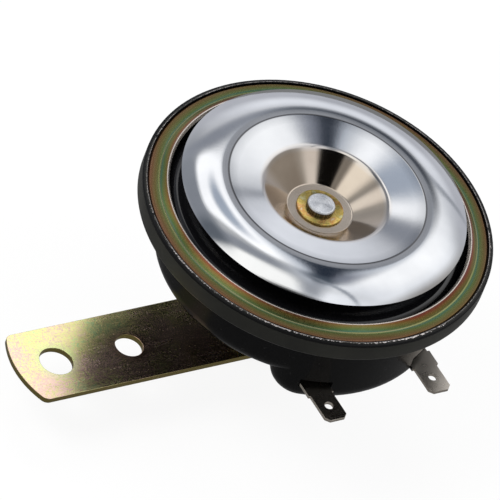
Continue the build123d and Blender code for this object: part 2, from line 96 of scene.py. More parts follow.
def vectorCalc(tree, operation, a, b=None, result="Vector"):
    values = {0: a} if b is None else {0: a, 1: b}
    return put(tree, "ShaderNodeVectorMath", values, operation=operation).outputs[result]


def combine(tree, x, y=0.0, z=0.0):
    return put(tree, "ShaderNodeCombineXYZ", {"X": x, "Y": y, "Z": z}).outputs[0]


def ramp(tree, factor, stops):
    node = put(tree, "ShaderNodeValToRGB", {"Fac": factor})
    elements = node.color_ramp.elements
    while len(elements) < len(stops):
        elements.new(0.5)
    for element, (place, colour) in zip(elements, stops):
        element.position = place
        element.color = (*colour, 1)
    return node.outputs["Color"]


def grey(value):
    return (value, value, value)


def span(tree, value, low, high, toLow=0.0, toHigh=1.0):
    sockets = {"Value": value, "From Min": low, "From Max": high, "To Min": toLow, "To Max": toHigh}
    return put(tree, "ShaderNodeMapRange", sockets, clamp=True).outputs["Result"]


def blendColours(tree, factor, first, second):
    node = put(tree, "ShaderNodeMix", data_type="RGBA")
    for socket, value in ((0, factor), (6, first), (7, second)):
        if isinstance(value, bpy.types.NodeSocket):
            tree.links.new(value, node.inputs[socket])
        else:
            node.inputs[socket].default_value = value if socket == 0 else (*value, 1)
    return node.outputs[2]


def noise(tree, place, scale, detail=3.0, roughness=0.5):
    sockets = {"Vector": place, "Scale": scale, "Detail": detail, "Roughness": roughness}
    return put(tree, "ShaderNodeTexNoise", sockets).outputs["Fac"]


# noise brought round nought and scaled
def sway(tree, value, share):
    return times(tree, minus(tree, value, 0.5), share)


# a fine line at one radius: full inside the first reach, gone past the second
def lineAt(tree, radius, at, reach, strength):
    away = calc(tree, "ABSOLUTE", minus(tree, radius, at))
    return span(tree, away, *reach, strength, 0.0)


def objectPlace(tree, centre=(0, 0, 0)):
    coordinates = put(tree, "ShaderNodeTexCoord").outputs["Object"]
    return vectorCalc(tree, "SUBTRACT", coordinates, centre)


# radius in mm, height in mm, turn from 0 to 1, and the place itself
def aroundAxis(tree, centre=hornAxis):
    place = objectPlace(tree, centre)
    parts = put(tree, "ShaderNodeSeparateXYZ", {0: place})
    flat = vectorCalc(tree, "MULTIPLY", place, (1, 1, 0))
    radius = times(tree, vectorCalc(tree, "LENGTH", flat, result="Value"), 1 / mm)
    height = times(tree, parts.outputs["Z"], 1 / mm)
    angle = calc(tree, "ARCTAN2", parts.outputs["Y"], parts.outputs["X"])
    return radius, height, span(tree, angle, -math.pi, math.pi), place


# upward part of the face's direction: 1 on a flat top, 0 on an upright wall
def upwardPart(tree):
    facing = put(tree, "ShaderNodeNewGeometry").outputs["True Normal"]
    return put(tree, "ShaderNodeSeparateXYZ", {0: facing}).outputs["Z"]


def bump(tree, height, strength, distance):
    sockets = {"Height": height, "Strength": strength, "Distance": distance}
    return put(tree, "ShaderNodeBump", sockets).outputs["Normal"]


def newMaterial(name, **fixed):
    material = bpy.data.materials.new(name)
    material.use_nodes = True
    tree = material.node_tree
    tree.nodes.clear()
    shader = put(tree, "ShaderNodeBsdfPrincipled")
    output = put(tree, "ShaderNodeOutputMaterial")
    tree.links.new(shader.outputs[0], output.inputs["Surface"])
    for socket, value in fixed.items():
        shader.inputs[socket].default_value = value
    return material, tree, shader


def feed(tree, shader, **sockets):
    names = {"colour": "Base Color", "roughness": "Roughness", "metallic": "Metallic",
             "normal": "Normal", "tangent": "Tangent"}
    for name, socket in sockets.items():
        tree.links.new(socket, shader.inputs[names[name]])


def giveMaterial(owner, material):
    owner.data.materials.clear()
    owner.data.materials.append(material)
    for face in owner.data.polygons:
        face.material_index = 0


# points of the arc through three points, the first left out
def arcThrough(first, middle, last, steps):
    (ax, ay), (bx, by), (cx, cy) = first, middle, last
    d = 2 * (ax * (by - cy) + bx * (cy - ay) + cx * (ay - by))
    sq = [x * x + y * y for x, y in (first, middle, last)]
    ox = (sq[0] * (by - cy) + sq[1] * (cy - ay) + sq[2] * (ay - by)) / d
    oy = (sq[0] * (cx - bx) + sq[1] * (ax - cx) + sq[2] * (bx - ax)) / d
    radius = math.hypot(ax - ox, ay - oy)
    start = math.atan2(ay - oy, ax - ox)
    sweep = math.remainder(math.atan2(cy - oy, cx - ox) - start, 2 * math.pi)
    return [(ox + radius * math.cos(start + sweep * i / steps),
             oy + radius * math.sin(start + sweep * i / steps)) for i in range(1, steps + 1)]


# polyline through (x, y) or (x, y, round) corners, each round corner as an arc
def rounded(corners, steps=6):
    line = []
    for i, corner in enumerate(corners):
        here = Vector(corner[:2])
        turn = corner[2] if len(corner) > 2 else 0
        if not turn or i in (0, len(corners) - 1):
            line.append(tuple(here))
            continue
        before = (Vector(corners[i - 1][:2]) - here).normalized()
        after = (Vector(corners[i + 1][:2]) - here).normalized()
        half = before.angle(after) / 2
        reach = turn / math.tan(half)
        centre = here + (before + after).normalized() * turn / math.sin(half)
        enter, leave = here + before * reach, here + after * reach
        middle = centre + (here - centre).normalized() * turn
        line.append(tuple(enter))
        line += arcThrough(tuple(enter), tuple(middle), tuple(leave), steps)
    return line


# closed outline of a sheet whose upper face is the line; the sheet lies to its right
def thickened(line, thickness):
    lower = []
    for i, point in enumerate(line):
        before, after = line[max(i - 1, 0)], line[min(i + 1, len(line) - 1)]
        along = (Vector(after) - Vector(before)).normalized()
        here = Vector(point)
        lower.append((here.x + along.y * thickness, here.y - along.x * thickness))
    return line + lower[::-1]


# merges doubles and turns every face outwards
def tidyMesh(mesh, weld=1e-6):
    work = bmesh.new()
    work.from_mesh(mesh)
    bmesh.ops.remove_doubles(work, verts=work.verts, dist=weld)
    bmesh.ops.recalc_face_normals(work, faces=work.faces)
    work.to_mesh(mesh)
    work.free()


def smoothByAngle(mesh, degrees):
    mesh.shade_smooth()
    mesh.set_sharp_from_angle(angle=math.radians(degrees))


# geometry tree with one named input for each size
def newTree(name, sizes):
    tree = bpy.data.node_groups.new(name, "GeometryNodeTree")
    tree.interface.new_socket("Geometry", in_out="INPUT", socket_type="NodeSocketGeometry")
    kinds = {int: "NodeSocketInt", float: "NodeSocketFloat", Vector: "NodeSocketVector",
             bpy.types.Material: "NodeSocketMaterial"}
    for label, kind in sizes.items():
        tree.interface.new_socket(label, in_out="INPUT", socket_type=kinds[kind])
    tree.interface.new_socket("Geometry", in_out="OUTPUT", socket_type="NodeSocketGeometry")
    return tree, put(tree, "NodeGroupInput").outputs, put(tree, "NodeGroupOutput")


def endTree(tree, output, geometry, material):
    real = put(tree, "GeometryNodeRealizeInstances", {"Geometry": geometry}).outputs[0]
    painted = put(tree, "GeometryNodeSetMaterial", {"Geometry": real, "Material": material}).outputs[0]
    tree.links.new(painted, output.inputs[0])


# evaluates the tree on a source mesh and keeps only the plain mesh
def runTree(name, source, tree, values):
    carrier = bpy.data.objects.new(name, source)
    bpy.context.scene.collection.objects.link(carrier)
    modifier = carrier.modifiers.new("shape", "NODES")
    modifier.node_group = tree
    for socket in tree.interface.items_tree:
        if socket.item_type == "SOCKET" and socket.in_out == "INPUT" and socket.name in values:
            modifier[socket.identifier] = values[socket.name]
    bpy.context.view_layer.update()
    evaluated = carrier.evaluated_get(bpy.context.evaluated_depsgraph_get())
    mesh = bpy.data.meshes.new_from_object(evaluated)
    carrier.modifiers.clear()
    carrier.data = mesh
    mesh.name = name
    tidyMesh(mesh)
    return carrier


# solid of revolution on the horn's axis from a closed outline of (radius, height) in mm
def makeSpinTree():
    tree, given, output = newTree("spinProfile", {
        "Turn Steps": int, "Profile Points": int, "Ripple Depth": float, "Ripple Scale": float,
        "Ripple From Height": float, "Axis Foot": Vector, "Material": bpy.types.Material})
    columns = add(tree, given["Turn Steps"], 1)
    rows = add(tree, given["Profile Points"], 1)
    grid = put(tree, "GeometryNodeMeshGrid", {"Vertices X": columns, "Vertices Y": rows}).outputs["Mesh"]
    index = put(tree, "GeometryNodeInputIndex").outputs[0]
    column = calc(tree, "FLOOR", calc(tree, "DIVIDE", add(tree, index, 0.5), rows))
    row = minus(tree, index, times(tree, column, rows))
    profileIndex = calc(tree, "FLOORED_MODULO", row, given["Profile Points"])
    turn = calc(tree, "DIVIDE", times(tree, column, 2 * math.pi), given["Turn Steps"])
    place = put(tree, "GeometryNodeInputPosition").outputs[0]
    sample = put(tree, "GeometryNodeSampleIndex", {"Geometry": given["Geometry"]}, data_type="FLOAT_VECTOR")
    tree.links.new(place, sample.inputs["Value"])
    tree.links.new(profileIndex, sample.inputs["Index"])
    outline = put(tree, "ShaderNodeSeparateXYZ", {0: sample.outputs[0]}).outputs
    cosine, sine = calc(tree, "COSINE", turn), calc(tree, "SINE", turn)
    # a crimped edge wanders a little: the ripple starts above a given height
    spot = combine(tree, times(tree, cosine, outline["X"]), times(tree, sine, outline["X"]), outline["Z"])
    wander = noise(tree, spot, given["Ripple Scale"])
    near = calc(tree, "GREATER_THAN", outline["Z"], given["Ripple From Height"])
    push = times(tree, sway(tree, wander, given["Ripple Depth"]), near)
    radius = add(tree, outline["X"], push)
    height = add(tree, outline["Z"], push)
    spun = combine(tree, times(tree, cosine, radius), times(tree, sine, radius), height)
    placed = vectorCalc(tree, "ADD", spun, given["Axis Foot"])
    shaped = put(tree, "GeometryNodeSetPosition", {"Geometry": grid, "Position": placed}).outputs[0]
    closed = put(tree, "GeometryNodeMergeByDistance", {"Geometry": shaped, "Distance": 1e-6}).outputs[0]
    smooth = put(tree, "GeometryNodeSetShadeSmooth", {"Geometry": closed}).outputs[0]
    endTree(tree, output, smooth, given["Material"])
    return tree


spinTree = makeSpinTree()


def spinPiece(name, outline, material, turnSteps=256, ripple=(0.0, 100.0, 0.0), sharpAt=40):
    source = bpy.data.meshes.new(name + "Profile")
    source.from_pydata([(r * mm, 0, z * mm) for r, z in outline], [], [])
    depth, scale, fromHeight = ripple
    piece = runTree(name, source, spinTree, {
        "Turn Steps": turnSteps, "Profile Points": len(outline), "Ripple Depth": depth * mm,
        "Ripple Scale": scale, "Ripple From Height": fromHeight * mm,
        "Axis Foot": hornAxis, "Material": material})
    smoothByAngle(piece.data, sharpAt)
    return piece


# copy of a CAD piece with its edges eased by a small bevel, in mm
def easedCopy(node, name, material, easing, angle=30, segments=2, sharpAt=60):
    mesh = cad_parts[node].data.copy()
    piece = bpy.data.objects.new(name, mesh)
    bpy.context.scene.collection.objects.link(piece)
    tidyMesh(mesh)
    work = bmesh.new()
    work.from_mesh(mesh)
    bmesh.ops.dissolve_limit(work, angle_limit=math.radians(1), verts=work.verts, edges=work.edges)
    work.to_mesh(mesh)
    work.free()
    if "custom_normal" in mesh.attributes:
        mesh.attributes.remove(mesh.attributes["custom_normal"])
    bevel = piece.modifiers.new("easing", "BEVEL")
    bevel.width = easing * mm
    bevel.segments = segments
    bevel.limit_method = "ANGLE"
    bevel.angle_limit = math.radians(angle)
    flats = piece.modifiers.new("flats", "WEIGHTED_NORMAL")
    flats.keep_sharp = True
    smoothByAngle(mesh, sharpAt)
    bpy.context.view_layer.update()
    evaluated = piece.evaluated_get(bpy.context.evaluated_depsgraph_get())
    piece.data = bpy.data.meshes.new_from_object(evaluated)
    piece.modifiers.clear()
    piece.data.name = name
    giveMaterial(piece, material)
    return piece


# a finished piece takes the place of CAD nodes and rides on its body
def standFor(piece, body, slot, *nodes):
    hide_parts(*nodes)
    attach(piece, body)
    return piece


# finishes that several pieces share
# metal with fine grain: two tones, and a roughness that follows the grain
def plainMetal(name, low, high, roughness, grainScale=900.0, spread=0.08, depth=0.12):
    material, tree, shader = newMaterial(name, Metallic=1.0)
    place = objectPlace(tree)
    grain = noise(tree, place, grainScale, 3)
    cloud = noise(tree, place, 120.0, 3)
    mottle = add(tree, times(tree, grain, 0.4), times(tree, cloud, 0.6))
    feed(tree, shader, colour=ramp(tree, mottle, [(0.35, low), (0.65, high)]),
         roughness=span(tree, grain, 0.3, 0.7, roughness, roughness + spread),
         normal=bump(tree, grain, depth, 0.00003))
    return material


# non-metal with a fine mottle: fibre, moulding, paper
def matt(name, low, high, roughness, scale=300.0, depth=0.2):
    material, tree, shader = newMaterial(name)
    mottle = noise(tree, objectPlace(tree), scale, 4, 0.6)
    feed(tree, shader, colour=ramp(tree, mottle, [(0.35, low), (0.65, high)]),
         roughness=span(tree, mottle, 0.3, 0.7, roughness, min(roughness + 0.12, 1)),
         normal=bump(tree, mottle, depth, 0.00005))
    return material


# glossy stoving enamel with a little orange peel and dust
def blackEnamel(name, roughness, tone, gloss):
    material, tree, shader = newMaterial(name, **{"Specular IOR Level": gloss})
    place = objectPlace(tree)
    peel = noise(tree, place, 420.0, 2)
    dust = span(tree, noise(tree, place, 1500.0, 2), 0.70, 0.76)
    uneven = span(tree, noise(tree, place, 90.0, 3), 0.3, 0.7, roughness, roughness + 0.08)
    feed(tree, shader, colour=blendColours(tree, dust, tone, (0.02, 0.02, 0.019)),
         roughness=add(tree, uneven, times(tree, dust, 0.2)),
         normal=bump(tree, peel, 0.10, 0.00005))
    return material


# yellow passivated zinc on a small turned piece: olive, gold and orange patches
def passivatedGold():
    material, tree, shader = newMaterial("goldZinc", Metallic=1.0)
    place = objectPlace(tree)
    film = noise(tree, place, 380.0, 3, 0.6)
    grain = noise(tree, place, 1600.0, 2)
    tint = ramp(tree, film, [
        (0.32, (0.50, 0.46, 0.24)), (0.43, (0.46, 0.34, 0.08)), (0.52, (0.62, 0.46, 0.15)),
        (0.62, (0.56, 0.30, 0.09)), (0.74, (0.60, 0.52, 0.36))])
    feed(tree, shader, colour=tint, roughness=span(tree, grain, 0.3, 0.7, 0.14, 0.22),
         normal=bump(tree, grain, 0.04, 0.00002))
    return material


goldZincFinish = passivatedGold()
paleZincFinish = plainMetal("paleZinc", (0.52, 0.52, 0.50), (0.68, 0.67, 0.62), 0.28)
print("shared finishes made")

# tone disc: pressed bowl with a rolled crown, thin sheet; each fade runs from none to full
toneDisc = {
    "seatHeight": 39.5, "boreRadius": 3.1, "footRadius": 8.35, "footRound": 0.8,
    "coneRadius": 16.1, "coneRise": 5.68, "coneRound": 3.0, "creaseRadius": 25.1, "creaseRound": 2.5,
    "topRadius": 26.8, "topRise": 7.25, "shoulderRadius": 32.0, "shoulderRise": 6.41,
    "edgeRadius": 36.5, "edgeRise": 4.45, "sheet": 1.0,
    "seatFade": (8.6, 8.0), "rayFade": (7.5, 9.5), "warmFade": (17.2, 14.8), "brushFade": (14.0, 18.0),
    "slopeFade": (25.6, 25.0), "shadeFade": (22.6, 25.1), "shadeEnd": (25.5, 25.2), "creaseShadowLine": 25.3}


# bright plate: warm in the cone, satin on the slope, painted shade darkening towards the crease and a painted
# shadow line along it
def pressedChrome(t):
    material, tree, shader = newMaterial("pressedChrome", Metallic=1.0)
    radius, _, turn, place = aroundAxis(tree)
    mottle = noise(tree, place, 60.0, 3)
    warmTone = ramp(tree, mottle, [(0.3, (0.44, 0.35, 0.26)), (0.7, (0.66, 0.56, 0.45))])
    coolTone = ramp(tree, mottle, [(0.3, (0.58, 0.59, 0.61)), (0.7, (0.71, 0.72, 0.735))])
    colour = blendColours(tree, span(tree, radius, *t["warmFade"]), coolTone, warmTone)
    # painted shade: the colour darkens towards the crease from inside it
    shade = times(tree, span(tree, radius, *t["shadeFade"], 0, 0.42), span(tree, radius, *t["shadeEnd"]))
    colour = blendColours(tree, shade, colour, (0.20, 0.21, 0.23))
    # painted shadow: a dark line along the crease
    crease = lineAt(tree, radius, t["creaseShadowLine"], (0.05, 0.35), 0.75)
    colour = blendColours(tree, crease, colour, (0.10, 0.09, 0.08))
    slope = span(tree, radius, *t["slopeFade"])
    colour = blendColours(tree, times(tree, slope, 0.22), colour, (0.40, 0.41, 0.43))
    # brushing: rays out of the cone, rings on the crown
    rays = combine(tree, times(tree, turn, 260.0), times(tree, radius, 0.9))
    rings = combine(tree, times(tree, turn, 12.0), times(tree, radius, 5.0))
    start, end = t["brushFade"]
    inCone = times(tree, span(tree, radius, end, start), span(tree, radius, *t["rayFade"]))
    grain = add(tree, times(tree, noise(tree, rays, 1.0, 3, 0.6), inCone),
                times(tree, noise(tree, rings, 1.0, 2), span(tree, radius, start, end)))
    texture = add(tree, grain, noise(tree, place, 900.0, 4, 0.7))
    polish = add(tree, add(tree, 0.04, times(tree, slope, 0.03)),
                 times(tree, span(tree, radius, *t["seatFade"]), 0.18))
    feed(tree, shader, colour=colour, roughness=add(tree, polish, times(tree, texture, 0.025)),
         normal=bump(tree, texture, 0.09, 0.00003))
    return material


def buildToneDisc(t):
    seat = t["seatHeight"]
    top = (t["topRadius"], seat + t["topRise"])
    dish = rounded([
        (t["boreRadius"], seat), (t["footRadius"], seat, t["footRound"]),
        (t["coneRadius"], seat + t["coneRise"], t["coneRound"]),
        (t["creaseRadius"], top[1], t["creaseRound"]), top], 10)
    fall = arcThrough(top, (t["shoulderRadius"], seat + t["shoulderRise"]),
                      (t["edgeRadius"], seat + t["edgeRise"]), 30)
    disc = spinPiece("toneDisc", thickened(dish + fall, t["sheet"]), pressedChrome(t), 320)
    return standFor(disc, "sounder", "chrome", "tone_disc")


buildToneDisc(toneDisc)
print("tone disc spun")

# clamp ring: flat outer land, raised collar inside
clampRing = {
    "outerRadius": 43.9, "landHeight": 38.7, "baseHeight": 37.5, "bevel": 0.7,
    "creaseRadius": 40.8, "innerRadius": 38.9, "collarRise": 1.45, "sheet": 1.2, "edgeRound": 0.25,
    "filmWidth": 5.0, "creaseHighlightRadius": 40.75, "innerEdgeHighlightFade": (39.20, 39.05)}


# rolled zinc with a many-coloured film: the tint turns with the radius and drifts round the ring; a painted
# highlight runs along the crease and another along the inner edge
def passivatedRing(c):
    material, tree, shader = newMaterial("passivatedRing", Metallic=0.85)
    radius, _, turn, place = aroundAxis(tree)
    inward = calc(tree, "DIVIDE", minus(tree, c["outerRadius"], radius), c["filmWidth"])
    film = add(tree, inward, sway(tree, noise(tree, place, 14.0, 2), 0.75))
    film = add(tree, film, sway(tree, noise(tree, place, 55.0, 3), 0.22))
    tint = ramp(tree, film, [
        (0.00, (0.17, 0.07, 0.04)), (0.14, (0.15, 0.075, 0.03)), (0.34, (0.13, 0.11, 0.03)),
        (0.50, (0.10, 0.15, 0.045)), (0.58, (0.06, 0.15, 0.10)), (0.65, (0.09, 0.16, 0.05)),
        (0.80, (0.20, 0.14, 0.03)), (0.92, (0.24, 0.06, 0.03)), (1.00, (0.20, 0.04, 0.05))])
    streaks = combine(tree, times(tree, turn, 24.0), times(tree, radius, 3.0))
    grain = noise(tree, streaks, 1.0, 3)
    speckle = noise(tree, place, 1500.0, 2)
    colour = blendColours(tree, span(tree, grain, 0.35, 0.75, 0, 0.30), tint, (0.24, 0.19, 0.11))
    # painted highlight: a golden line along the ring's crease
    creaseHighlight = lineAt(tree, radius, c["creaseHighlightRadius"], (0.06, 0.22), 0.55)
    colour = blendColours(tree, creaseHighlight, colour, (0.36, 0.30, 0.14))
    # painted highlight: pale steel colour on the rounded inner edge
    colour = blendColours(tree, span(tree, radius, *c["innerEdgeHighlightFade"]), colour, (0.66, 0.60, 0.54))
    feed(tree, shader, colour=colour, roughness=span(tree, speckle, 0.2, 0.8, 0.20, 0.32),
         normal=bump(tree, add(tree, grain, speckle), 0.08, 0.00003))
    return material


def buildClampRing(c):
    top = c["landHeight"]
    lip = (c["innerRadius"], top + c["collarRise"])
    crease = (c["creaseRadius"], top)
    slope = (Vector(crease) - Vector(lip)).normalized() * c["sheet"]
    under = (lip[0] + slope.y, lip[1] - slope.x)
    outline = rounded([
        (c["outerRadius"] - 1.5, c["baseHeight"]), (c["outerRadius"], c["baseHeight"], 0.15),
        (c["outerRadius"], top - c["bevel"], 0.3), (c["outerRadius"] - c["bevel"], top, 0.3),
        (*crease, 0.9), (*lip, c["edgeRound"]), (*under, c["edgeRound"]),
        (c["creaseRadius"] + c["sheet"] * 0.35, c["baseHeight"], 0.9),
        (c["outerRadius"] - 1.6, c["baseHeight"])], 5)
    ring = spinPiece("clampRing", outline, passivatedRing(c), 320)
    return standFor(ring, "root", "yellow_zinc", "clamp_ring")


buildClampRing(clampRing)
print("clamp ring spun")

# crimped rim: lacquer skin over the housing's band and lip, rippled by the crimping
crimpedRim = {
    "bandRadius": 45.0, "footHeight": 33.35, "cornerHeight": 38.7, "cornerRound": 1.1,
    "lipRadius": 43.85, "lipHeight": 38.92, "skin": 0.03,
    "ripple": 0.10, "rippleScale": 800.0, "rippleFrom": 38.2,
    "chipFade": (38.05, 38.7), "lipHighlightFade": (44.05, 43.95), "wornSide": (-0.7, -0.7, 0)}


# satin enamel on the band, broken along the crimped corner where the bare steel shows, and a painted
# highlight line in steel colour along the lip's inner edge
def rimEnamel(c):
    material, tree, shader = newMaterial("rimEnamel", **{"Specular IOR Level": 0.24})
    radius, height, _, place = aroundAxis(tree)
    grain = noise(tree, place, 1100.0, 3)
    paint = ramp(tree, noise(tree, place, 70.0, 3),
                 [(0.3, (0.011, 0.011, 0.009)), (0.7, (0.019, 0.019, 0.015))])
    corner = span(tree, height, *c["chipFade"])
    cracks = noise(tree, place, 1900.0, 3, 0.6)
    patches = times(tree, noise(tree, place, 45.0, 2), 0.8)
    # most of the chips lie on one side
    worn = times(tree, vectorCalc(tree, "DOT_PRODUCT", place, c["wornSide"], result="Value"), 2.4)
    broken = add(tree, cracks, add(tree, patches, worn))
    chips = span(tree, times(tree, corner, broken), 1.04, 1.09)
    # painted highlight: a thin steel-coloured line along the lip's inner edge
    line = times(tree, span(tree, radius, *c["lipHighlightFade"]), span(tree, broken, 0.72, 0.90))
    # metal where the chips are worn through and where the painted highlight line lies
    chipsAndLipHighlight = calc(tree, "MAXIMUM", chips, times(tree, line, corner))
    steel = ramp(tree, grain, [(0.3, (0.42, 0.38, 0.36)), (0.7, (0.72, 0.68, 0.66))])
    feed(tree, shader, colour=blendColours(tree, chipsAndLipHighlight, paint, steel), metallic=chipsAndLipHighlight,
         roughness=span(tree, chipsAndLipHighlight, 0, 1, 0.38, 0.30),
         normal=bump(tree, add(tree, grain, times(tree, chipsAndLipHighlight, -2.0)), 0.25, 0.00005))
    return material


def buildCrimpedRim(c):
    skin, band = c["skin"], c["bandRadius"]
    outline = rounded([
        (band - 1.0, c["footHeight"] - skin), (band + skin, c["footHeight"] - skin, 0.8),
        (band + skin, c["cornerHeight"] + skin, c["cornerRound"]),
        (c["lipRadius"] - skin, c["lipHeight"] + skin, 0.15), (c["lipRadius"] - skin, c["lipHeight"] - 0.5),
        (band - 0.4, c["cornerHeight"] - 1.2), (band - 0.4, c["footHeight"] + 0.6)], 6)
    ripple = (c["ripple"], c["rippleScale"], c["rippleFrom"])
    rim = spinPiece("crimpedRim", outline, rimEnamel(c), 900, ripple)
    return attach(rim, "root")


buildCrimpedRim(crimpedRim)
print("crimped rim spun")

# diaphragm: clamped flange, bead, hollow and flat middle
diaphragm = {
    "outerRadius": 43.9, "rimHeight": 36.15, "beadFootRadius": 39.6, "beadRadius": 35.6, "beadRise": 1.9,
    "hollowRadius": 31.0, "hollowRise": 0.9, "hubRadius": 16.0, "hubRise": 1.6, "boreRadius": 3.1,
    "sheet": 0.5,
    # name, roughness, tone, gloss
    "lacquer": ("diaphragmLacquer", 0.10, (0.006, 0.006, 0.007), 0.5)}


def easeBetween(first, last, steps):
    (ax, ay), (bx, by) = first, last
    shares = [i / steps for i in range(1, steps + 1)]
    return [(ax + (bx - ax) * s, ay + (by - ay) * s * s * (3 - 2 * s)) for s in shares]


def buildDiaphragm(d):
    rim = d["rimHeight"]
    marks = [(d["hubRadius"], rim + d["hubRise"]), (d["hollowRadius"], rim + d["hollowRise"]),
             (d["beadRadius"], rim + d["beadRise"]), (d["beadFootRadius"], rim)]
    line = [(d["boreRadius"], rim + d["hubRise"]), marks[0]]
    for first, last in zip(marks, marks[1:]):
        line += easeBetween(first, last, 12)
    line.append((d["outerRadius"], rim))
    skin = spinPiece("diaphragmSkin", thickened(line, d["sheet"]), blackEnamel(*d["lacquer"]))
    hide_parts("diaphragm")
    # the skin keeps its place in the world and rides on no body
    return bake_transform(skin)


buildDiaphragm(diaphragm)
print("diaphragm spun")

# fixing at the middle: washer and turned stem head
middleFixing = {
    "washerRadius": 6.05, "washerFoot": 39.5, "washerThick": 0.6, "washerRound": 0.27,
    "boreRadius": 3.1, "stemRadius": 3.0, "stemFoot": 34.25, "headRadius": 3.64,
    "headFoot": 40.1, "headHeight": 1.4, "headRound": 0.55}


# head faced on a lathe: rings round the axis, fine pits, and on the side upright streaks, painted dark as
# painted shade
def turnedSteel():
    material, tree, shader = newMaterial("turnedSteel", Metallic=1.0, Anisotropic=0.85)
    radius, height, turn, place = aroundAxis(tree)
    rings = noise(tree, combine(tree, times(tree, radius, 9.0), times(tree, height, 9.0)), 1.0, 2)
    pits = noise(tree, place, 1800.0, 3)
    faced = ramp(tree, pits, [(0.3, (0.60, 0.61, 0.63)), (0.7, (0.74, 0.75, 0.77))])
    streaks = noise(tree, combine(tree, times(tree, turn, 90.0)), 1.0, 1)
    streakedShade = ramp(tree, streaks, [(0.42, (0.035, 0.035, 0.04)), (0.62, (0.30, 0.30, 0.31))])
    # painted shade: the side faces take the dark streaked colour, the top stays bright
    shadedSide = span(tree, upwardPart(tree), 0.50, 0.25)
    feed(tree, shader, colour=blendColours(tree, shadedSide, faced, streakedShade),
         roughness=span(tree, rings, 0.3, 0.7, 0.26, 0.34),
         tangent=vectorCalc(tree, "CROSS_PRODUCT", place, (0, 0, 1)),
         normal=bump(tree, add(tree, rings, pits), 0.06, 0.00002))
    return material


def buildMiddle(m):
    low, high = m["washerFoot"], m["washerFoot"] + m["washerThick"]
    washer = rounded([
        (m["washerRadius"] - 1, low), (m["washerRadius"], low, m["washerRound"]),
        (m["washerRadius"], high, m["washerRound"]), (m["boreRadius"], high), (m["boreRadius"], low)], 4)
    standFor(spinPiece("frontWasher", washer, goldZincFinish), "sounder", "gold_zinc", "front_washer")
    top = m["headFoot"] + m["headHeight"]
    stem = rounded([
        (0, m["stemFoot"]), (m["stemRadius"], m["stemFoot"]), (m["stemRadius"], m["headFoot"]),
        (m["headRadius"], m["headFoot"], 0.12), (m["headRadius"], top, m["headRound"]), (0, top)], 6)
    standFor(spinPiece("stemHead", stem, turnedSteel()), "sounder", "bright_steel", "stem")


buildMiddle(middleFixing)
print("middle fixing made")

# bracket strip: the film turns green and brown round the punched holes
bracketStrip = {
    "halos": [
        # place, outer and inner reach in metres, share, tone
        ((0, 0, 0), 0.0082, 0.0054, 0.65, (0.78, 0.92, 0.42)),
        ((0.0211, 0, 0), 0.0076, 0.0043, 0.80, (0.72, 0.40, 0.34)),
    ],
    "haloDrift": 0.002, "rollStretch": (60.0, 900.0, 900.0)}


# cold-rolled steel strip, zinc plated and yellow passivated, with drifting pink and green
def passivatedStrip(b):
    material, tree, shader = newMaterial("passivatedStrip", Metallic=1.0)
    place = objectPlace(tree)
    drift = noise(tree, place, 26.0, 3, 0.6)
    rolled = noise(tree, vectorCalc(tree, "MULTIPLY", place, b["rollStretch"]), 1.0, 3)
    speckle = noise(tree, place, 1700.0, 2)
    tint = ramp(tree, add(tree, drift, sway(tree, speckle, 0.35)), [
        (0.30, (0.66, 0.90, 0.46)), (0.40, (0.96, 0.88, 0.38)), (0.47, (0.98, 0.80, 0.50)),
        (0.54, (0.98, 0.66, 0.60)), (0.62, (0.96, 0.84, 0.42)), (0.74, (0.62, 0.86, 0.52))])
    for centre, outer, inner, share, halo in b["halos"]:
        reach = vectorCalc(tree, "LENGTH", objectPlace(tree, centre), result="Value")
        reach = add(tree, reach, times(tree, drift, b["haloDrift"]))
        tint = blendColours(tree, span(tree, reach, outer, inner, 0, share), tint, halo)
    cutEdge = span(tree, calc(tree, "ABSOLUTE", upwardPart(tree)), 0.75, 0.45)
    tint = blendColours(tree, cutEdge, tint, (0.30, 0.24, 0.08))
    tint = blendColours(tree, span(tree, speckle, 0.55, 0.75, 0, 0.25), tint, (0.45, 0.38, 0.20))
    texture = add(tree, rolled, speckle)
    feed(tree, shader, colour=tint, roughness=span(tree, texture, 0.6, 1.4, 0.21, 0.29),
         normal=bump(tree, texture, 0.02, 0.00002))
    return material


stripFinish = passivatedStrip(bracketStrip)
nickelFinish = plainMetal("nickelBlade", (0.52, 0.47, 0.41), (0.62, 0.57, 0.50), 0.26, 250.0, 0.03, 0.0)

# pressed, cut and turned pieces that keep their CAD shape, as (name, finish, easing in mm, slot)
easedPieces = {
    "mounting_bracket": ("bracketStrip", stripFinish, 0.10, "yellow_zinc"),
    "terminal_left": ("bladeLeft", nickelFinish, 0.10, "nickel"),
    "terminal_right": ("bladeRight", nickelFinish, 0.10, "nickel"),
    "lock_nut": ("lockNut", goldZincFinish, 0.12, "gold_zinc"),
    "bracket_nut": ("bracketNut", goldZincFinish, 0.12, "gold_zinc"),
    "flat_washer": ("flatWasher", goldZincFinish, 0.12, "gold_zinc"),
    "spring_washer": ("springWasher", goldZincFinish, 0.12, "gold_zinc"),
    "adjusting_screw": ("adjustingScrew", paleZincFinish, 0.12, "bright_steel"),
    "breaker_bridge": ("breakerBridge", stripFinish, 0.15, "yellow_zinc"),
}
for node, (name, finish, easing, slot) in easedPieces.items():
    standFor(easedCopy(node, name, finish, easing), "root", slot, node)
print("eased pieces made:", len(easedPieces))

# coil: enamelled wire laid turn by turn, the pitch in mm
coilWinding = {"pitch": 0.55}


def woundCopper(w):
    material, tree, shader = newMaterial("woundCopper", Metallic=0.9)
    _, height, _, place = aroundAxis(tree)
    wires = calc(tree, "SINE", times(tree, height, 2 * math.pi / w["pitch"]))
    # dark in the grooves between the turns, copper on their crowns: painted shade
    colour = ramp(tree, span(tree, wires, -1, 1), [(0.0, (0.18, 0.06, 0.03)), (0.6, (0.62, 0.27, 0.13))])
    feed(tree, shader, colour=colour, roughness=span(tree, noise(tree, place, 400.0), 0.3, 0.7, 0.25, 0.38),
         normal=bump(tree, wires, 0.8, 0.0001))
    return material


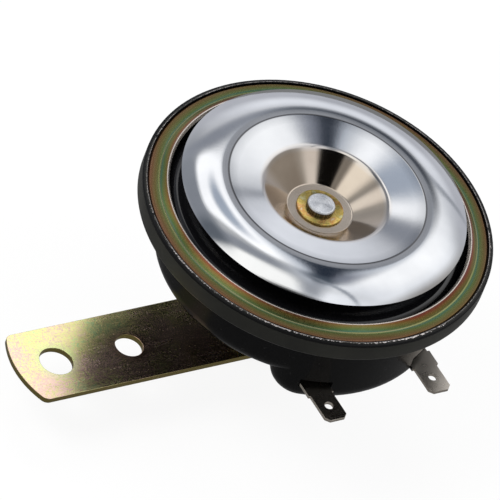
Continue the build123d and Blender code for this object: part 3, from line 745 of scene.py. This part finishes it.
# CAD pieces that keep their own mesh and take a finish
canFinish = blackEnamel("blackEnamel", 0.18, (0.0035, 0.0035, 0.0037), 0.12)
copperFinish = woundCopper(coilWinding)
ironFinish = plainMetal("softIron", (0.30, 0.30, 0.30), (0.42, 0.42, 0.42), 0.35)
springFinish = plainMetal("phosphorBronze", (0.58, 0.36, 0.18), (0.70, 0.47, 0.26), 0.24)
contactFinish = plainMetal("contactTungsten", (0.44, 0.44, 0.46), (0.56, 0.56, 0.58), 0.30)
brownBoard = matt("brownBoard", (0.10, 0.045, 0.022), (0.17, 0.08, 0.04), 0.42)
bobbinFinish = matt("bobbinNylon", (0.55, 0.52, 0.44), (0.64, 0.61, 0.52), 0.48, 200.0, 0.08)
gasketFinish = matt("gasketPaper", (0.05, 0.045, 0.04), (0.10, 0.09, 0.08), 0.82, 700.0, 0.4)
cadFinishes = {
    "housing": canFinish,
    "spacer_washer": paleZincFinish, "armature": ironFinish, "pole_core": ironFinish,
    "coil_bobbin": bobbinFinish, "coil_winding": copperFinish,
    "terminal_plate": brownBoard, "lower_insulator": brownBoard, "middle_insulator": brownBoard,
    "upper_insulator": brownBoard, "contact_peg": brownBoard,
    "terminal_rivets": paleZincFinish, "foot_rivets": paleZincFinish, "stack_rivets": paleZincFinish,
    "spring_contact_arm": springFinish, "fixed_contact_arm": springFinish,
    "moving_contact_point": contactFinish, "fixed_contact_point": contactFinish,
    "screw_bush": paleZincFinish, "lower_gasket": gasketFinish, "upper_gasket": gasketFinish,
}
for node, finish in cadFinishes.items():
    giveMaterial(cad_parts[node], finish)
print("CAD pieces finished:", len(cadFinishes))

# camera: long lens, above and to the left of the horn
cameraSetting = {
    "place": (-1.0804, -1.1356, 1.5148), "lens": 639.3, "sensor": 36.0, "clip": (0.05, 20),
    "right": (0.8374, -0.4727, 0.2745), "up": (0.1789, 0.7115, 0.6796), "back": (-0.5165, -0.5200, 0.6803)}


def buildCamera(c):
    data = bpy.data.cameras.new("mainCamera")
    data.lens, data.sensor_width = c["lens"], c["sensor"]
    data.clip_start, data.clip_end = c["clip"]
    camera = bpy.data.objects.new("mainCamera", data)
    bpy.context.scene.collection.objects.link(camera)
    turned = Matrix((c["right"], c["up"], c["back"])).transposed()
    camera.matrix_world = Matrix.Translation(c["place"]) @ turned.to_4x4()
    bpy.context.scene.camera = camera


buildCamera(cameraSetting)

# studio: pale floor, and a surround of soft boxes and grey flags that only gloss sees
# the cards lie on a flat chart of the surround: its middle is where an upturned flat face looks,
# x to the right and y up, and a card's place is the tangent of half its angle from there
studio = {
    "floorDrop": 0.0005, "floorSize": 6.0, "floorGloss": 0.26, "floorTone": 0.9, "cameraGlow": 0.9,
    "diffuseLevel": 0.55, "plainTone": (0.62, 0.63, 0.64),
    "cards": [
        # name, centre, half width and height, turn, edge softness, squareness, tone
        ("lowerHaze", (0.00, -0.38), (0.42, 0.29), 0, 0.40, 3, (0.62, 0.63, 0.68)),
        ("lowerGlow", (0.00, -0.175), (0.15, 0.07), 0, 0.90, 2, (1.10, 1.12, 1.18)),
        ("topWash", (-0.20, 0.53), (0.30, 0.20), 0, 0.25, 3, (1.36, 1.35, 1.31)),
        ("rightWash", (0.26, 0.52), (0.20, 0.16), 0, 0.40, 3, (1.18, 1.20, 1.24)),
        ("leftFlag", (-0.33, 0.12), (0.10, 0.26), -4, 0.55, 3, (0.32, 0.34, 0.38)),
        ("topFlag", (-0.16, 0.300), (0.22, 0.042), -13, 0.60, 3, (0.34, 0.36, 0.40)),
        ("cornerFlag", (-0.30, 0.32), (0.090, 0.070), -15, 0.60, 3, (0.15, 0.17, 0.20)),
        ("leftBox", (-0.128, 0.096), (0.126, 0.112), 0, 0.18, 5, (1.50, 1.50, 1.51)),
        ("leftBoxHeart", (-0.105, 0.108), (0.052, 0.056), -20, 0.50, 2, (0.50, 0.56, 0.66)),
        ("lowFlag", (-0.15, -0.052), (0.20, 0.036), 4, 0.70, 2, (0.34, 0.36, 0.41)),
        ("rightBox", (0.230, 0.140), (0.200, 0.230), 7, 0.35, 4, (1.18, 1.20, 1.24)),
        ("rightBoxHeart", (0.140, 0.090), (0.120, 0.130), 7, 0.70, 3, (1.50, 1.50, 1.50)),
        ("middleGrey", (0.070, 0.42), (0.040, 0.15), -14, 0.80, 3, (0.42, 0.44, 0.48)),
        ("upperEdge", (0.020, 0.60), (0.170, 0.050), 0, 0.50, 3, (0.12, 0.12, 0.12)),
        ("seamHalo", (0.030, 0.140), (0.034, 0.150), -10, 0.90, 3, (0.62, 0.68, 0.78)),
        ("seamWide", (0.060, 0.175), (0.030, 0.085), -16, 0.80, 3, (0.30, 0.32, 0.38)),
        ("seam", (0.029, 0.130), (0.017, 0.165), -11, 0.60, 4, (0.02, 0.03, 0.05)),
        ("seamHead", (0.052, 0.250), (0.030, 0.052), -25, 0.70, 2, (0.08, 0.10, 0.13)),
        ("seamRight", (0.160, 0.350), (0.150, 0.010), 38, 0.80, 4, (0.36, 0.39, 0.44)),
        ("seamLow", (0.150, -0.165), (0.160, 0.011), -42, 0.80, 4, (0.42, 0.44, 0.48)),
        ("smudge", (0.024, -0.058), (0.050, 0.044), 0, 0.80, 2, (0.08, 0.09, 0.11)),
        ("nearMiddle", (0.000, 0.000), (0.024, 0.024), 0, 0.80, 2, (0.42, 0.43, 0.46)),
        ("overheadFlag", (0.12, 0.76), (0.20, 0.20), 0, 0.24, 4, (0.004, 0.004, 0.004)),
        ("overheadEdge", (-0.13, 0.74), (0.07, 0.14), 0, 0.60, 3, (0.30, 0.29, 0.28)),
        ("rightOuterFlag", (0.50, 0.05), (0.16, 0.30), 0, 0.40, 3, (0.42, 0.40, 0.38)),
        ("leftOuterFlag", (-0.56, 0.44), (0.12, 0.15), 0, 0.50, 3, (0.22, 0.22, 0.22)),
        ("leftOuterBox", (-0.56, 0.16), (0.13, 0.12), 0, 0.40, 3, (1.20, 1.20, 1.20)),
    ],
    "boxAim": (0.0647, 0.0, 0.03),
    "boxes": [
        # name, place, size, power
        ("keyBox", (-0.9, 0.5, 1.3), 0.9, 16.0),
        ("fillBox", (1.2, -0.6, 0.9), 0.8, 10.0),
        ("backBox", (0.6, 1.3, 1.0), 0.9, 12.0),
    ],
    # a panel of the same form that only the flat strip and the right blade mirror
    "panel": ("stripPanel", (0.62, 0.60, 0.80), 0.34, 0.27), "panelAim": (0.01, 0, 0),
    "panelPieces": ("bracketStrip", "bladeRight")}


# mask of one card: 1 on it, 0 off it, with a soft edge
def makeCardGroup():
    tree = bpy.data.node_groups.new("surroundCard", "ShaderNodeTree")
    names = ("X", "Y", "Centre X", "Centre Y", "Half Width", "Half Height", "Turn", "Edge", "Squareness")
    for name in names:
        tree.interface.new_socket(name, in_out="INPUT", socket_type="NodeSocketFloat")
    tree.interface.new_socket("Mask", in_out="OUTPUT", socket_type="NodeSocketFloat")
    given = put(tree, "NodeGroupInput").outputs
    x = minus(tree, given["X"], given["Centre X"])
    y = minus(tree, given["Y"], given["Centre Y"])
    cosine, sine = calc(tree, "COSINE", given["Turn"]), calc(tree, "SINE", given["Turn"])
    along = add(tree, times(tree, x, cosine), times(tree, y, sine))
    across = minus(tree, times(tree, y, cosine), times(tree, x, sine))
    shares = []
    for reach, half in ((along, given["Half Width"]), (across, given["Half Height"])):
        share = calc(tree, "DIVIDE", calc(tree, "ABSOLUTE", reach), half)
        shares.append(calc(tree, "POWER", share, given["Squareness"]))
    reach = calc(tree, "POWER", add(tree, *shares), calc(tree, "DIVIDE", 1.0, given["Squareness"]))
    inner, outer = minus(tree, 1.0, given["Edge"]), add(tree, 1.0, given["Edge"])
    fade = put(tree, "ShaderNodeMapRange", {
        "Value": reach, "From Min": inner, "From Max": outer, "To Min": 1.0, "To Max": 0.0},
        interpolation_type="SMOOTHSTEP")
    put(tree, "NodeGroupOutput", {0: fade.outputs["Result"]})
    return tree


def surroundTone(tree, s):
    back = Vector(cameraSetting["back"])
    middle = Vector((-back.x, -back.y, back.z))      # mirrored sight line of an upturned face
    right = middle.cross(Vector((0, 0, 1))).normalized()
    upward = right.cross(middle)
    direction = put(tree, "ShaderNodeTexCoord").outputs["Generated"]
    shares = [vectorCalc(tree, "DOT_PRODUCT", direction, axis, "Value") for axis in (middle, right, upward)]
    depth = add(tree, shares[0], 1.001)      # just over 1, so that straight behind stays finite
    x, y = (calc(tree, "DIVIDE", share, depth) for share in shares[1:])
    group = makeCardGroup()
    tone = s["plainTone"]
    for name, centre, half, turn, edge, squareness, cardTone in s["cards"]:
        card = put(tree, "ShaderNodeGroup", node_tree=group, label=name)
        sizes = {"Centre X": centre[0], "Centre Y": centre[1], "Half Width": half[0], "Half Height": half[1],
                 "Turn": math.radians(turn), "Edge": edge, "Squareness": squareness}
        for socket, value in sizes.items():
            card.inputs[socket].default_value = value
        tree.links.new(x, card.inputs["X"])
        tree.links.new(y, card.inputs["Y"])
        tone = blendColours(tree, card.outputs["Mask"], tone, cardTone)
    return tone


# white for what the camera and glass see, the cards for gloss, the plain level for diffuse light
def buildSurround(s):
    world = bpy.data.worlds.new("studioSurround")
    bpy.context.scene.world = world
    world.use_nodes = True
    tree = world.node_tree
    tree.nodes.clear()
    rays = put(tree, "ShaderNodeLightPath").outputs
    seen = calc(tree, "MAXIMUM", rays["Is Camera Ray"], rays["Is Transmission Ray"])
    plain = blendColours(tree, seen, grey(s["diffuseLevel"]), grey(1.0))
    toned = blendColours(tree, rays["Is Glossy Ray"], plain, surroundTone(tree, s))
    background = put(tree, "ShaderNodeBackground", {"Color": toned})
    surround = put(tree, "ShaderNodeOutputWorld")
    tree.links.new(background.outputs[0], surround.inputs["Surface"])


# the floor is paper for light and shadow, and a faint even glow for gloss
def buildFloor(s):
    mesh = bpy.data.meshes.new("paleFloor")
    half, low = s["floorSize"] / 2, cadBox[0].z - s["floorDrop"]
    corners = [(-half, -half, low), (half, -half, low), (half, half, low), (-half, half, low)]
    mesh.from_pydata(corners, [], [(0, 1, 2, 3)])
    floor = bpy.data.objects.new("paleFloor", mesh)
    bpy.context.scene.collection.objects.link(floor)
    paper, tree, shader = newMaterial("palePaper", Roughness=0.9)
    shader.inputs["Base Color"].default_value = (*grey(s["floorTone"]), 1)
    output = next(n for n in tree.nodes if n.type == "OUTPUT_MATERIAL")
    rays = put(tree, "ShaderNodeLightPath").outputs
    strength = span(tree, rays["Is Glossy Ray"], 0, 1, 1.0, s["floorGloss"])
    glow = put(tree, "ShaderNodeEmission", {"Color": (1, 1, 1, 1), "Strength": strength})
    direct = calc(tree, "MAXIMUM", times(tree, rays["Is Camera Ray"], s["cameraGlow"]), rays["Is Glossy Ray"])
    mixed = put(tree, "ShaderNodeMixShader", {0: direct, 1: shader.outputs[0], 2: glow.outputs[0]})
    tree.links.new(mixed.outputs[0], output.inputs["Surface"])
    mesh.materials.append(paper)


def softBox(name, place, size, power, aim):
    lamp = bpy.data.lights.new(name, "AREA")
    lamp.shape, lamp.size, lamp.energy = "SQUARE", size, power
    box = bpy.data.objects.new(name, lamp)
    bpy.context.scene.collection.objects.link(box)
    box.location = place
    box.rotation_euler = (Vector(aim) - Vector(place)).to_track_quat("-Z", "Y").to_euler()
    return box


def buildLamps(s):
    for setting in s["boxes"]:
        box = softBox(*setting, s["boxAim"])
        box.visible_glossy = False      # gloss sees the surround's cards in their place
    panel = softBox(*s["panel"], s["panelAim"])
    lit = bpy.data.collections.new("stripPanelLit")
    for name in s["panelPieces"]:
        lit.objects.link(bpy.data.objects[name])
    panel.light_linking.receiver_collection = lit


buildSurround(studio)
buildFloor(studio)
buildLamps(studio)
print("studio and camera ready")
